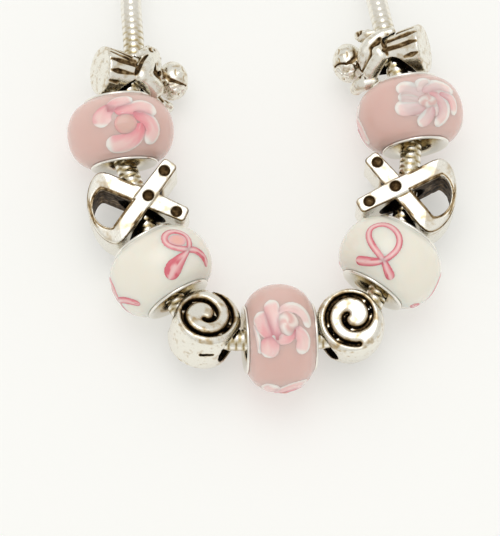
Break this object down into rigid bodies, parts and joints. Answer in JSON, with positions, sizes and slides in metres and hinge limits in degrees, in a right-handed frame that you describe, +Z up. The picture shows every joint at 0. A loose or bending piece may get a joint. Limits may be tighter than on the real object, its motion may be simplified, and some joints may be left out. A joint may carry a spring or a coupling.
{
  "type": "beaded necklace",
  "caption": "Charm-bead necklace lying flat: lampwork glass beads with silver cores and cast silver charms on a closed snake-chain loop with a plain clasp.",
  "frame": {"origin": "middle of the whole loop's footprint, on the surface that it lies on", "axes": "+X across the loop, +Y from the beads to the clasp, +Z up from the surface"},
  "size_m": [0.0527, 0.2081, 0.0142],
  "materials": {
    "chain_silver": "bright silver plate, close-set polished rings",
    "core_silver": "polished swaged silver plate",
    "antique_silver": "cast, blackened in the recesses and polished back on top",
    "pink_glass": "dusty rose lampwork glass with pink and white flowers under a glossy surface",
    "white_glass": "milk-white lampwork glass with rose ribbon trails, glossy"
  },
  "bodies": {
    "root": {"snake_chain": "chain_silver", "clasp": "chain_silver", "pink_glass_left": "pink_glass", "pink_glass_centre": "pink_glass", "pink_glass_right": "pink_glass", "pink_core_left": "core_silver", "pink_core_centre": "core_silver", "pink_core_right": "core_silver", "white_glass_left": "white_glass", "white_glass_right": "white_glass", "white_core_left": "core_silver", "white_core_right": "core_silver", "ribbon_bead_left": "antique_silver", "ribbon_bead_right": "antique_silver", "spiral_bead_left": "antique_silver", "spiral_bead_right": "antique_silver", "angel_bead_left": "antique_silver", "angel_bead_right": "antique_silver"}
  },
  "joints": []
}
